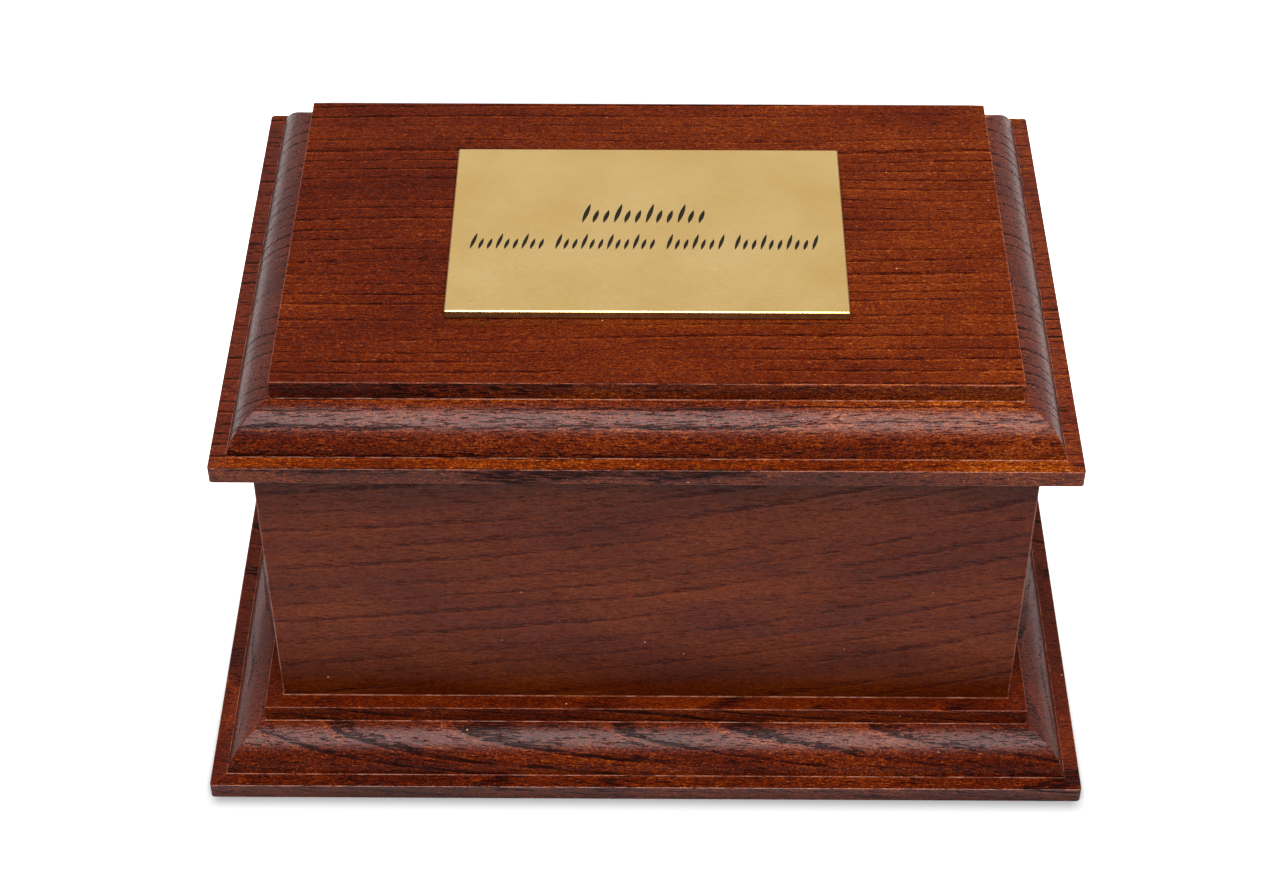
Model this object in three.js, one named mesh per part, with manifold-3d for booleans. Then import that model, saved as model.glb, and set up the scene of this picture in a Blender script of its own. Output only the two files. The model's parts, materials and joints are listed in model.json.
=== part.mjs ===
// A wooden casket for ashes: a moulded base board, four mitred walls standing on it, a moulded lid
// board that lifts off, and a brass plate lying on the lid. Millimetres, +Z up, the front faces -Y,
// and the origin is the middle of the underside.
import * as THREE from 'three';
import { mergeVertices } from 'three/addons/utils/BufferGeometryUtils.js';
import Module from 'manifold-3d';

const wasm = await Module();
wasm.setup();

// Box of four walls
const bodyWidth = 245.5;
const bodyDepth = 158.5;
const bodyHeight = 111;
const wallThickness = 10;

// How far the two boards stand out past the walls
const lidOverhang = 11.25;
const baseOverhang = 24.25;

// Moulding worked round both boards, from the outer edge inwards
const edgeHeight = 6;
const ledgeWidth = 5.3;
const ovoloRun = 12.1;
const ovoloRise = 12.5;
const ovoloRadius = 15.5;
const ovoloTopFlat = 1;
const filletRise = 6.5;
const arrisEase = 0.4;
const cornerRadius = 1.2;
const ovoloSteps = 10;

// Raised field under the lid that drops between the walls
const tongueDepth = 3;
const tongueClearance = 0.5;

// Brass plate, measured from the middle of the lid
const plateWidth = 127;
const plateDepth = 83.8;
const plateThickness = 3;
const plateChamfer = 0.5;
const plateShiftX = -1;
const plateShiftY = 0.2;

// Two rows of shallow slanting strokes that stand in groups of the numbers given. The lower row fills
// the plate between side margins. Spacing and stroke width keep in step with a row's height.
const strokeDepth = 0.25;
const strokeLean = Math.tan(THREE.MathUtils.degToRad(14));
const shortStroke = 0.68;
const strokeShare = 0.45;
const groupGapPitches = 1.9;
const sideMargin = 8.5;
const upperRow = { groups: [12], y: 7.2, height: 10.2 };
const lowerRow = { groups: [9, 12, 7, 10], y: -7.4, height: 8.2 };

// Space left at a glued joint, under the resting lid and under the plate
const jointGap = 0.1;

const boardThickness = edgeHeight + ovoloRise + filletRise;
const mouldingWidth = ledgeWidth + ovoloRun + ovoloTopFlat;
const lidBottom = boardThickness + bodyHeight;
const lidTop = lidBottom + boardThickness;

const wood = { color: 0x6a2c18, roughness: 0.42, metalness: 0 };
const brass = { color: 0xc9a55c, roughness: 0.3, metalness: 1 };

// A closed triangle mesh as a solid that can be joined and cut
function toSolid(geometry) {
  geometry.deleteAttribute('normal');
  geometry.deleteAttribute('uv');
  const merged = mergeVertices(geometry, 1e-4);
  const mesh = new wasm.Mesh({
    numProp: 3,
    vertProperties: new Float32Array(merged.attributes.position.array),
    triVerts: new Uint32Array(merged.index.array),
  });
  return new wasm.Manifold(mesh);
}

function toGeometry(solid) {
  const mesh = solid.getMesh();
  const geometry = new THREE.BufferGeometry();
  geometry.setAttribute('position', new THREE.BufferAttribute(mesh.vertProperties, 3));
  geometry.setIndex(new THREE.BufferAttribute(mesh.triVerts, 1));
  const flat = geometry.toNonIndexed();
  flat.computeVertexNormals();
  return flat;
}

function namedMesh(name, geometry, finish) {
  const mesh = new THREE.Mesh(geometry, new THREE.MeshStandardMaterial(finish));
  mesh.name = name;
  return mesh;
}

// Extrudes an upright section along X or Y, centred on the origin
function extrudeSection(shape, length, axis) {
  const options = { depth: length, bevelEnabled: false, curveSegments: ovoloSteps };
  const geometry = new THREE.ExtrudeGeometry(shape, options);
  geometry.translate(0, 0, -length / 2);
  geometry.rotateX(Math.PI / 2);
  if (axis === 'x') geometry.rotateZ(Math.PI / 2);
  return geometry;
}

// Centre and end angles of the ovolo's arc, which starts at the foot and bulges outwards
function ovoloArc(footX, footZ) {
  const chord = Math.hypot(ovoloRun, ovoloRise);
  const back = Math.sqrt(ovoloRadius ** 2 - (chord / 2) ** 2);
  const x = footX - ovoloRun / 2 - (back * ovoloRise) / chord;
  const z = footZ + ovoloRise / 2 - (back * ovoloRun) / chord;
  const start = Math.atan2(footZ - z, footX - x);
  const end = Math.atan2(footZ + ovoloRise - z, footX - ovoloRun - x);
  return { x, z, start, end };
}

// Section through a moulded board: flat underside, eased edge, ledge, ovolo, fillet, flat top
function mouldedSection(width) {
  const half = width / 2;
  const foot = half - ledgeWidth;
  const field = half - mouldingWidth;
  const arc = ovoloArc(foot, edgeHeight);
  const shape = new THREE.Shape();
  shape.moveTo(-half + arrisEase, 0);
  shape.lineTo(half - arrisEase, 0);
  shape.lineTo(half, arrisEase);
  shape.lineTo(half, edgeHeight - arrisEase);
  shape.lineTo(half - arrisEase, edgeHeight);
  shape.lineTo(foot, edgeHeight);
  shape.absarc(arc.x, arc.z, ovoloRadius, arc.start, arc.end, false);
  shape.lineTo(field, edgeHeight + ovoloRise);
  shape.lineTo(field, boardThickness - arrisEase);
  shape.lineTo(field - arrisEase, boardThickness);
  shape.lineTo(-field + arrisEase, boardThickness);
  shape.lineTo(-field, boardThickness - arrisEase);
  shape.lineTo(-field, edgeHeight + ovoloRise);
  shape.absarc(-arc.x, arc.z, ovoloRadius, Math.PI - arc.end, Math.PI - arc.start, false);
  shape.lineTo(-half + arrisEase, edgeHeight);
  shape.lineTo(-half, edgeHeight - arrisEase);
  shape.lineTo(-half, arrisEase);
  shape.closePath();
  return shape;
}

function roundedRectangle(width, depth, radius) {
  const x = width / 2 - radius;
  const y = depth / 2 - radius;
  const shape = new THREE.Shape();
  shape.absarc(x, y, radius, 0, Math.PI / 2, false);
  shape.absarc(-x, y, radius, Math.PI / 2, Math.PI, false);
  shape.absarc(-x, -y, radius, Math.PI, 1.5 * Math.PI, false);
  shape.absarc(x, -y, radius, 1.5 * Math.PI, 2 * Math.PI, false);
  return shape;
}

// The same moulding runs along all four edges and meets in a mitre at each corner
function mouldedBoard(width, depth) {
  const along = toSolid(extrudeSection(mouldedSection(width), depth, 'y'));
  const across = toSolid(extrudeSection(mouldedSection(depth), width, 'x'));
  const plan = new THREE.ExtrudeGeometry(roundedRectangle(width, depth, cornerRadius), {
    depth: boardThickness,
    bevelEnabled: false,
    curveSegments: 4,
  });
  return along.intersect(across).intersect(toSolid(plan));
}

function baseBoard() {
  const width = bodyWidth + 2 * baseOverhang;
  const depth = bodyDepth + 2 * baseOverhang;
  return namedMesh('base_board', toGeometry(mouldedBoard(width, depth)), wood);
}

function lidBoard() {
  const width = bodyWidth + 2 * lidOverhang;
  const depth = bodyDepth + 2 * lidOverhang;
  const inset = 2 * (wallThickness + tongueClearance);
  const tongue = new THREE.BoxGeometry(bodyWidth - inset, bodyDepth - inset, tongueDepth + arrisEase);
  tongue.translate(0, 0, (arrisEase - tongueDepth) / 2);
  const board = mouldedBoard(width, depth).add(toSolid(tongue));
  const mesh = namedMesh('lid_board', toGeometry(board), wood);
  mesh.position.z = lidBottom;
  return mesh;
}

// One wall seen from above: outer face on -Y, ends cut at 45 degrees and drawn back by half a joint
function wall(name, length, halfDepth, turn) {
  const drawBack = jointGap / Math.SQRT2;
  const outer = length / 2 - drawBack;
  const inner = outer - wallThickness;
  const plan = new THREE.Shape();
  plan.moveTo(-outer, -halfDepth);
  plan.lineTo(outer, -halfDepth);
  plan.lineTo(inner, wallThickness - halfDepth);
  plan.lineTo(-inner, wallThickness - halfDepth);
  plan.closePath();
  const height = bodyHeight - 2 * jointGap;
  const geometry = new THREE.ExtrudeGeometry(plan, { depth: height, bevelEnabled: false });
  const mesh = namedMesh(name, geometry, wood);
  mesh.rotation.z = turn;
  mesh.position.z = boardThickness + jointGap;
  return mesh;
}

function walls() {
  const group = new THREE.Group();
  group.add(wall('front_wall', bodyWidth, bodyDepth / 2, 0));
  group.add(wall('right_wall', bodyDepth, bodyWidth / 2, Math.PI / 2));
  group.add(wall('back_wall', bodyWidth, bodyDepth / 2, Math.PI));
  group.add(wall('left_wall', bodyDepth, bodyWidth / 2, -Math.PI / 2));
  return group;
}

// A pointed leaf-shaped stroke leaning to the right, as a cutter standing through the plate's face
function strokeCutter(x, y, height, width) {
  const lean = (height / 2) * strokeLean;
  const leaf = new THREE.Shape();
  leaf.moveTo(x - lean, y - height / 2);
  leaf.quadraticCurveTo(x + width, y, x + lean, y + height / 2);
  leaf.quadraticCurveTo(x - width, y, x - lean, y - height / 2);
  const cutter = new THREE.ExtrudeGeometry(leaf, {
    depth: 2 * strokeDepth,
    bevelEnabled: false,
    curveSegments: 4,
  });
  cutter.translate(0, 0, plateThickness - strokeDepth);
  return toSolid(cutter);
}

// Length of a row counted in stroke pitches
function rowPitches(row) {
  const steps = row.groups.reduce((sum, count) => sum + count - 1, 0);
  return steps + (row.groups.length - 1) * groupGapPitches;
}

// Every third stroke stands the full height of its row and the others are shorter
function rowCutters(row) {
  const lowerPitch = (plateWidth - 2 * sideMargin) / rowPitches(lowerRow);
  const pitch = (lowerPitch * row.height) / lowerRow.height;
  const cutters = [];
  let x = (-rowPitches(row) * pitch) / 2;
  for (const count of row.groups) {
    for (let i = 0; i < count; i++) {
      const height = i % 3 === 0 ? row.height : shortStroke * row.height;
      const y = row.y - (row.height - height) / 2;
      cutters.push(strokeCutter(x + i * pitch, y, height, strokeShare * pitch));
    }
    x += (count - 1 + groupGapPitches) * pitch;
  }
  return cutters;
}

function chamferedSection(width, thickness, chamfer) {
  const half = width / 2;
  const shape = new THREE.Shape();
  shape.moveTo(-half, 0);
  shape.lineTo(half, 0);
  shape.lineTo(half, thickness - chamfer);
  shape.lineTo(half - chamfer, thickness);
  shape.lineTo(-half + chamfer, thickness);
  shape.lineTo(-half, thickness - chamfer);
  shape.closePath();
  return shape;
}

function plate() {
  const lengthwise = chamferedSection(plateWidth, plateThickness, plateChamfer);
  const crosswise = chamferedSection(plateDepth, plateThickness, plateChamfer);
  let slab = toSolid(extrudeSection(lengthwise, plateDepth, 'y'));
  slab = slab.intersect(toSolid(extrudeSection(crosswise, plateWidth, 'x')));
  for (const cutter of [upperRow, lowerRow].flatMap(rowCutters)) slab = slab.subtract(cutter);
  const mesh = namedMesh('name_plate', toGeometry(slab), brass);
  mesh.position.set(plateShiftX, plateShiftY, lidTop + jointGap);
  return mesh;
}

const casket = new THREE.Group();
casket.add(baseBoard());
casket.add(walls());
casket.add(lidBoard());
casket.add(plate());

export default casket;
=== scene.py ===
# Wooden ashes casket: stained ash boards, moulded all round, with an engraved brass plate on the lid.
# Metres, Z up, the front faces -Y.
import json
import math
import bmesh
import bpy
from mathutils import Matrix, Vector

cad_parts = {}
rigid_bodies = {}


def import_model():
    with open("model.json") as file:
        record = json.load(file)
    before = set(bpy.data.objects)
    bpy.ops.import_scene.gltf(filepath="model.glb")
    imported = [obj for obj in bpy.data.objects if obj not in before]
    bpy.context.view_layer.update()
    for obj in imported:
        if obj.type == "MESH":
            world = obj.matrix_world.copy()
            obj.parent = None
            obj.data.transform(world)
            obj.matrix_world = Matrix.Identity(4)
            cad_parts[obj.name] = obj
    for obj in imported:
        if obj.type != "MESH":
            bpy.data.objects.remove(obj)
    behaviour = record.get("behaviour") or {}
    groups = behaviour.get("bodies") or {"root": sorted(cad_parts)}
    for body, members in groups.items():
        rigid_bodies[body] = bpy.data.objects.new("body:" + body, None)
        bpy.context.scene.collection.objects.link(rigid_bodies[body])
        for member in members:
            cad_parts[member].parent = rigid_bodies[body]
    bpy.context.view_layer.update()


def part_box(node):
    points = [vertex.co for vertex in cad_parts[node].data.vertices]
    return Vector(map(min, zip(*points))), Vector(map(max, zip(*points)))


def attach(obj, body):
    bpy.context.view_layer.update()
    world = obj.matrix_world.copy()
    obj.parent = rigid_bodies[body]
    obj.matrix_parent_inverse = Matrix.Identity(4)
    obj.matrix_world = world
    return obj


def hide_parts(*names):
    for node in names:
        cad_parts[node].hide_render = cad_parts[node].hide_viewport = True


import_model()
mm = 0.001
weldReach = 0.000002  # points closer together than this become one
sliver = 0.000001  # edges shorter than this are dropped


def link(obj):
    bpy.context.scene.collection.objects.link(obj)
    return obj


# Camera at the photograph's angle
cameraSet = {
    "place": (0.001833, -0.656195, 0.688963),
    "lens": 72.7,
    "sensor": 36,
    "lookDown": 43.44,
    "turn": 0.375,
}
cameraData = bpy.data.cameras.new("camera")
cameraData.lens = cameraSet["lens"]
cameraData.sensor_width = cameraSet["sensor"]
camera = link(bpy.data.objects.new("camera", cameraData))
camera.location = cameraSet["place"]
camera.rotation_euler = (math.radians(90 - cameraSet["lookDown"]), 0, math.radians(cameraSet["turn"]))
bpy.context.scene.camera = camera
print("camera ready")


# Makes a node, sets its values and links its inputs
def addNode(tree, kind, inputs=None, **values):
    node = tree.nodes.new(kind)
    for key, value in values.items():
        setattr(node, key, value)
    for key, value in (inputs or {}).items():
        if isinstance(value, bpy.types.NodeSocket):
            tree.links.new(value, node.inputs[key])
        else:
            node.inputs[key].default_value = value
    return node


def mathNode(tree, operation, first, second=0.0, third=0.0):
    node = addNode(tree, "ShaderNodeMath", {0: first, 1: second, 2: third}, operation=operation)
    return node.outputs[0]


def vectorNode(tree, operation, first, second=(0, 0, 0)):
    return addNode(tree, "ShaderNodeVectorMath", {0: first, 1: second}, operation=operation).outputs[0]


# Makes a colour brighter or darker by a factor
def scaleNode(tree, colour, factor):
    node = addNode(tree, "ShaderNodeVectorMath", {0: colour, "Scale": factor}, operation="SCALE")
    return node.outputs[0]


# Takes a value from one range to another, eased at both ends unless told to be linear
def rampNode(tree, value, low, high, first=0.0, last=1.0, easing="SMOOTHSTEP"):
    return addNode(
        tree, "ShaderNodeMapRange",
        {"Value": value, "From Min": low, "From Max": high, "To Min": first, "To Max": last},
        interpolation_type=easing,
    ).outputs[0]


def mixNode(tree, factor, first, second, blend="MIX"):
    return addNode(
        tree, "ShaderNodeMix", {0: factor, 6: first, 7: second}, data_type="RGBA", blend_type=blend
    ).outputs[2]


def noiseNode(tree, place, fineness, detail=2.0, roughness=0.5, offset=(0, 0, 0), output=0):
    moved = addNode(tree, "ShaderNodeMapping", {"Vector": place, "Location": offset, "Scale": fineness})
    return addNode(
        tree, "ShaderNodeTexNoise",
        {"Vector": moved.outputs[0], "Scale": 1.0, "Detail": detail, "Roughness": roughness},
    ).outputs[output]


# A material that holds only its output, with its tree and the socket for its shader
def newMaterial(name):
    material = bpy.data.materials.new(name)
    material.use_nodes = True
    tree = material.node_tree
    tree.nodes.clear()
    return material, tree, addNode(tree, "ShaderNodeOutputMaterial").inputs[0]


# Layers of the wood's pattern: waves per millimetre along and across the fibres, detail, roughness
layers = {
    "wander": ((0.006, 0.02, 0.02), 2.0, 0.5),
    "ragged": ((0.12, 1.1, 1.1), 3.0, 0.6),
    "patches": ((0.012, 0.07, 0.07), 2.0, 0.5),
    "blotches": ((0.02, 0.06, 0.06), 2.0, 0.5),
    "hairs": ((0.7, 1.9, 1.9), 1.0, 0.5),
    "rubbed": ((0.2, 0.2, 0.2), 3.0, 0.6),
    "swells": ((0.25, 0.5, 0.5), 2.0, 0.5),
    "film": ((0.45, 2.0, 2.0), 2.0, 0.6),
}

# Where each layer begins to show and where it is full
limits = {
    "bandEdge": (0.0, 0.05),
    "paleStart": (0.86, 0.95),
    "paleEnd": (0.96, 1.0),
    "patches": (0.34, 0.6),
    "hairs": (0.6, 0.7),
    "dashesInBand": (0.35, 0.6),
    "lightened": (0.0, 0.5),
    "rubbed": (0.7, 1.0),
    "edgeLinePatches": (0.4, 0.62),
    "nibs": (0.6, 1.0),
    "gloss": (0.2, 0.8),
    "film": (0.36, 0.64),
    "filmOnBand": (0.3, 1.0),
}


# Stained ash. Coordinates are in millimetres: fibres run along X, and growth rings are
# cylinders round a pith line given by its place in Y and Z and its slope and bow along X.
def woodMaterial(name, figure):
    material, tree, surface = newMaterial(name)
    place = addNode(tree, "ShaderNodeTexCoord").outputs["Object"]
    place = vectorNode(tree, "MULTIPLY", place, (1 / mm,) * 3)
    if figure["turned"]:
        quarterTurn = {"Vector": place, "Rotation": (0, 0, math.pi / 2)}
        place = addNode(tree, "ShaderNodeMapping", quarterTurn).outputs[0]

    def noise(source, layer, offset, output=0):
        return noiseNode(tree, source, *layers[layer], offset, output)

    def ramp(value, low, high, first=0.0, last=1.0):
        return rampNode(tree, value, low, high, first, last)

    def times(*values):
        result = values[0]
        for value in values[1:]:
            result = mathNode(tree, "MULTIPLY", result, value)
        return result

    seed = figure["seed"]
    parts = addNode(tree, "ShaderNodeSeparateXYZ", {0: place})
    along = parts.outputs[0]
    bowed = times(along, along, figure["bow"] / 2)
    wander = noise(place, "wander", (seed, 2 * seed, 0), 1)
    wanderParts = addNode(tree, "ShaderNodeSeparateXYZ", {0: wander})
    across = []
    grain = []
    pithLine = ((1, figure["pithY"], figure["slopeY"]), (2, figure["pithZ"], figure["slopeZ"]))
    for axis, pith, slope in pithLine:
        value = mathNode(tree, "MULTIPLY_ADD", along, -slope, parts.outputs[axis])
        if axis == 2:
            value = mathNode(tree, "SUBTRACT", value, bowed)
        value = mathNode(tree, "MULTIPLY_ADD", wanderParts.outputs[axis], figure["wander"], value)
        drift = mathNode(tree, "SUBTRACT", value, parts.outputs[axis])
        grain.append(mathNode(tree, "MULTIPLY_ADD", drift, figure["follow"], parts.outputs[axis]))
        value = mathNode(tree, "SUBTRACT", value, pith)
        across.append(mathNode(tree, "MULTIPLY", value, value))
    fibrePlace = addNode(tree, "ShaderNodeCombineXYZ", {0: along, 1: grain[0], 2: grain[1]}).outputs[0]
    radius = mathNode(tree, "SQRT", mathNode(tree, "ADD", across[0], across[1]))
    rings = mathNode(tree, "DIVIDE", radius, figure["ringWidth"])
    uneven = addNode(
        tree, "ShaderNodeTexNoise", {"W": rings, "Scale": figure["unevenPace"], "Detail": 1.0},
        noise_dimensions="1D",
    ).outputs[0]
    rings = mathNode(tree, "MULTIPLY_ADD", uneven, figure["unevenRings"], rings)
    ragged = noise(fibrePlace, "ragged", (3 * seed, 0, seed))
    rings = mathNode(tree, "MULTIPLY_ADD", ragged, figure["ragged"], rings)
    phase = mathNode(tree, "FRACT", rings)

    # Early wood: dark at the start of each ring, fading outwards; a pale line closes the ring before
    bandEdge = ramp(phase, *limits["bandEdge"])
    bandTail = ramp(phase, figure["bandWidth"] * figure["bandCore"], figure["bandWidth"], 1.0, 0.0)
    patchy = noise(fibrePlace, "patches", (0, 5 * seed, 0))
    patchy = ramp(patchy, *limits["patches"], figure["faintest"], 1.0)
    band = times(bandEdge, bandTail, patchy)
    paleLine = times(ramp(phase, *limits["paleStart"]), ramp(phase, *limits["paleEnd"], 1.0, 0.0), patchy)

    # Blotches, then layers of ever shorter fibres, which are stronger where the moulding cuts through
    # them. The mitre parts the short sides, with their own strength and tone, from the long ones.
    moulded = addNode(tree, "ShaderNodeAttribute", attribute_name="moulded").outputs["Fac"]
    past = []
    for axis, half in enumerate(figure["halves"]):
        past.append(mathNode(tree, "SUBTRACT", mathNode(tree, "ABSOLUTE", parts.outputs[axis]), half))
    ends = times(moulded, mathNode(tree, "GREATER_THAN", past[0], past[1]))
    outermost = mathNode(
        tree, "GREATER_THAN", mathNode(tree, "MAXIMUM", past[0], past[1]), -figure["edgeReach"]
    )
    outermost = times(moulded, outermost)
    endChange = figure["endContrast"] - figure["mouldedContrast"]
    contrast = mathNode(tree, "MULTIPLY_ADD", moulded, figure["mouldedContrast"], 1.0)
    contrast = mathNode(tree, "MULTIPLY_ADD", ends, endChange, contrast)
    tone = mathNode(tree, "SUBTRACT", noise(place, "blotches", (11 * seed, 0, 0)), 0.5)
    # The drift raises the tone steadily along X: painted light, making the lid lighter towards its
    # right-hand end
    tone = mathNode(tree, "MULTIPLY_ADD", along, figure["drift"], times(tone, figure["blotch"]))
    for i, (lengthwise, crosswise, strength) in enumerate(figure["fibres"]):
        fibre = noiseNode(
            tree, fibrePlace, (lengthwise, crosswise, crosswise), 1.0, 0.5, (i * seed, 7 * i, 3 * seed)
        )
        fibre = mathNode(tree, "SUBTRACT", fibre, 0.5)
        tone = mathNode(tree, "MULTIPLY_ADD", fibre, strength, tone)
    tone = mathNode(tree, "MULTIPLY_ADD", tone, contrast, figure["tone"])
    tone = mathNode(tree, "MULTIPLY_ADD", ends, figure["endTone"], tone)

    # Vessel dashes, crowded in the early wood
    dashFineness = (figure["dashAlong"], figure["dashAcross"], figure["dashAcross"])
    dashes = noiseNode(tree, fibrePlace, dashFineness, 2.0, 0.6, (7 * seed, 0, 0))
    crowded = mathNode(tree, "MULTIPLY_ADD", band, figure["bandCrowding"], dashes)
    crowded = mathNode(tree, "MULTIPLY_ADD", moulded, figure["mouldedCrowding"], crowded)
    pores = ramp(crowded, figure["poreLimit"], figure["poreLimit"] + figure["poreEdge"])
    hairs = ramp(noise(fibrePlace, "hairs", (0, 13 * seed, seed)), *limits["hairs"])
    poreDepth = mathNode(
        tree, "MULTIPLY_ADD", moulded, -figure["mouldedPores"] * figure["poreDepth"], -figure["poreDepth"]
    )
    dashed = ramp(dashes, *limits["dashesInBand"], figure["betweenDashes"], 1.0)
    shade = times(band, dashed, figure["bandDepth"])
    tone = mathNode(tree, "SUBTRACT", tone, shade)
    tone = mathNode(tree, "MULTIPLY_ADD", pores, poreDepth, tone)
    tone = mathNode(tree, "MULTIPLY_ADD", paleLine, figure["paleDepth"], tone)
    tone = mathNode(tree, "MULTIPLY_ADD", hairs, figure["hairDepth"], tone)
    stain = addNode(tree, "ShaderNodeValToRGB", {0: tone})
    while len(stain.color_ramp.elements) < len(figure["stain"]):
        stain.color_ramp.elements.new(0.5)
    for stop, (position, colour) in zip(stain.color_ramp.elements, figure["stain"]):
        stop.position = position
        stop.color = (*colour, 1)
    # Painted shade: the colour darkens towards the foot of the walls, and the lacquer film thins there
    # too
    footTop = figure["foot"] + figure["footFade"]
    foot = ramp(parts.outputs[2], figure["foot"], footTop, figure["footShade"], 1.0)
    colour = scaleNode(tree, stain.outputs[0], foot)

    # Lighter colour along arrises, feet and mitre ridges and on the lid's ledge and shelf, with broken
    # pale lines on the roundings: partly stain rubbed thin, partly painted highlight
    worn = addNode(tree, "ShaderNodeAttribute", attribute_name="worn").outputs["Fac"]
    rubbed = noise(place, "rubbed", (0, seed, 7 * seed))
    rubbed = ramp(rubbed, *limits["edgeLinePatches"], figure["faintestEdgeLine"], 1.0)
    lightenedColour = mixNode(tree, ramp(worn, *limits["lightened"]), colour, figure["lightened"], "MULTIPLY")
    line = times(ramp(worn, *limits["rubbed"]), rubbed, figure["edgeLineStrength"])
    colour = mixNode(tree, line, lightenedColour, figure["rubbed"])

    # Dust nibs caught in the lacquer
    cells = addNode(tree, "ShaderNodeTexVoronoi", {"Vector": place, "Scale": figure["nibSpread"]})
    chosen = addNode(tree, "ShaderNodeSeparateColor", {0: cells.outputs["Color"]}).outputs[0]
    nibRadius = ramp(chosen, *limits["nibs"], 0.0, figure["nibSize"])
    nib = mathNode(tree, "LESS_THAN", cells.outputs["Distance"], nibRadius)
    colour = mixNode(tree, nib, colour, figure["nib"])

    # Pores and fibres show through the lacquer as relief
    height = mathNode(tree, "MULTIPLY_ADD", pores, -1.0, times(tone, figure["toneRelief"]))
    height = mathNode(tree, "MULTIPLY_ADD", nib, figure["nibRelief"], height)
    swells = noise(place, "swells", (0, 0, 0))
    height = mathNode(tree, "MULTIPLY_ADD", swells, figure["swellRelief"], height)
    bump = addNode(
        tree, "ShaderNodeBump", {"Height": height, "Strength": 1.0, "Distance": figure["relief"]}
    )
    gloss = ramp(tone, *limits["gloss"], *figure["roughness"])
    gloss = mathNode(tree, "MULTIPLY_ADD", pores, figure["poreRoughness"], gloss)

    # The lacquer film changes along the fibres, less on the moulding. It is thicker on the short
    # sides and at the very edge, and thinner in pores and on early wood; at the foot of the walls it
    # thins as painted shade, dimming the sheen.
    film = noise(fibrePlace, "film", (5 * seed, 0, 9 * seed))
    toMiddle = mathNode(tree, "SUBTRACT", 0.5, film)
    film = mathNode(tree, "MULTIPLY_ADD", toMiddle, times(moulded, figure["evenFilm"]), film)
    film = ramp(film, *limits["film"], figure["coatThin"], figure["coatThick"])
    film = times(film, ramp(moulded, 0.0, 1.0, figure["flatFilm"], 1.0))
    film = mathNode(tree, "MULTIPLY_ADD", ends, figure["endFilm"], film)
    film = mathNode(tree, "MULTIPLY_ADD", outermost, figure["edgeFilm"], film)
    film = times(film, foot, foot, ramp(pores, 0.0, 1.0, 1.0, figure["poreFilm"]))
    film = times(film, ramp(band, *limits["filmOnBand"], 1.0, figure["bandFilm"]))
    shader = addNode(
        tree, "ShaderNodeBsdfPrincipled",
        {"Base Color": colour, "Roughness": gloss, "Normal": bump.outputs[0], "IOR": figure["lacquerIor"],
         "Specular IOR Level": figure["underSheen"],
         "Coat Weight": film, "Coat Roughness": figure["coatRoughness"], "Coat IOR": figure["lacquerIor"],
         "Coat Normal": bump.outputs[0]},
    )
    tree.links.new(shader.outputs[0], surface)
    return material


# Satin brass, finely rubbed
def brassMaterial(name, settings):
    material, tree, surface = newMaterial(name)
    place = addNode(tree, "ShaderNodeTexCoord").outputs["Object"]

    def fade(value, low, high, first=0.0, last=1.0):
        return rampNode(tree, value, low, high, first, last, easing="LINEAR")

    mottle = noiseNode(tree, place, settings["mottle"], 4.0)
    rubbed = noiseNode(tree, place, settings["rubbing"], 2.0)
    colour = mixNode(tree, fade(mottle, *settings["spread"]), settings["deep"], settings["pale"])
    # Painted shade: the upright sides and the chamfers are darkened, and the sides darker still where
    # they meet the wood, as a painted contact shadow
    facing = addNode(tree, "ShaderNodeNewGeometry").outputs["True Normal"]
    upright = mathNode(tree, "ABSOLUTE", addNode(tree, "ShaderNodeSeparateXYZ", {0: facing}).outputs[2])
    height = addNode(tree, "ShaderNodeSeparateXYZ", {0: place}).outputs[2]
    seamTop = settings["foot"] + settings["seamHeight"]
    side = fade(height, settings["foot"], seamTop, settings["seamShadow"], settings["sideShade"])
    face = fade(upright, *settings["faceSteepness"], settings["chamferShade"], 1.0)
    paintedShade = fade(upright, *settings["sideSteepness"], side, face)
    colour = scaleNode(tree, colour, paintedShade)
    gloss = fade(rubbed, *settings["spread"], *settings["roughness"])
    relief = mathNode(tree, "MULTIPLY_ADD", mottle, settings["mottleRelief"], rubbed)
    bump = addNode(
        tree, "ShaderNodeBump",
        {"Height": relief, "Strength": settings["strength"], "Distance": settings["relief"]},
    )
    shader = addNode(
        tree, "ShaderNodeBsdfPrincipled",
        {"Base Color": colour, "Metallic": 1.0, "Roughness": gloss, "Normal": bump.outputs[0]},
    )
    tree.links.new(shader.outputs[0], surface)
    return material


# Black filling of the engraved strokes
def fillingMaterial(name, settings):
    material, tree, surface = newMaterial(name)
    place = addNode(tree, "ShaderNodeTexCoord").outputs["Object"]
    grain = addNode(tree, "ShaderNodeTexNoise", {"Vector": place, "Scale": settings["fineness"]})
    shader = addNode(
        tree, "ShaderNodeBsdfPrincipled",
        {"Base Color": mixNode(tree, grain.outputs[0], settings["deep"], settings["pale"]),
         "Roughness": settings["roughness"], "Specular IOR Level": settings["sheen"]},
    )
    tree.links.new(shader.outputs[0], surface)
    return material


# Points along an arc from start to end, the short way round
def arcPoints(centre, start, end, steps):
    reach = (start - centre).length
    first = math.atan2(start.y - centre.y, start.x - centre.x)
    sweep = math.atan2(end.y - centre.y, end.x - centre.x) - first
    sweep = (sweep + math.pi) % (2 * math.pi) - math.pi
    angles = [first + sweep * k / steps for k in range(steps + 1)]
    return [centre + Vector((math.cos(a), math.sin(a))) * reach for a in angles]


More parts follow.
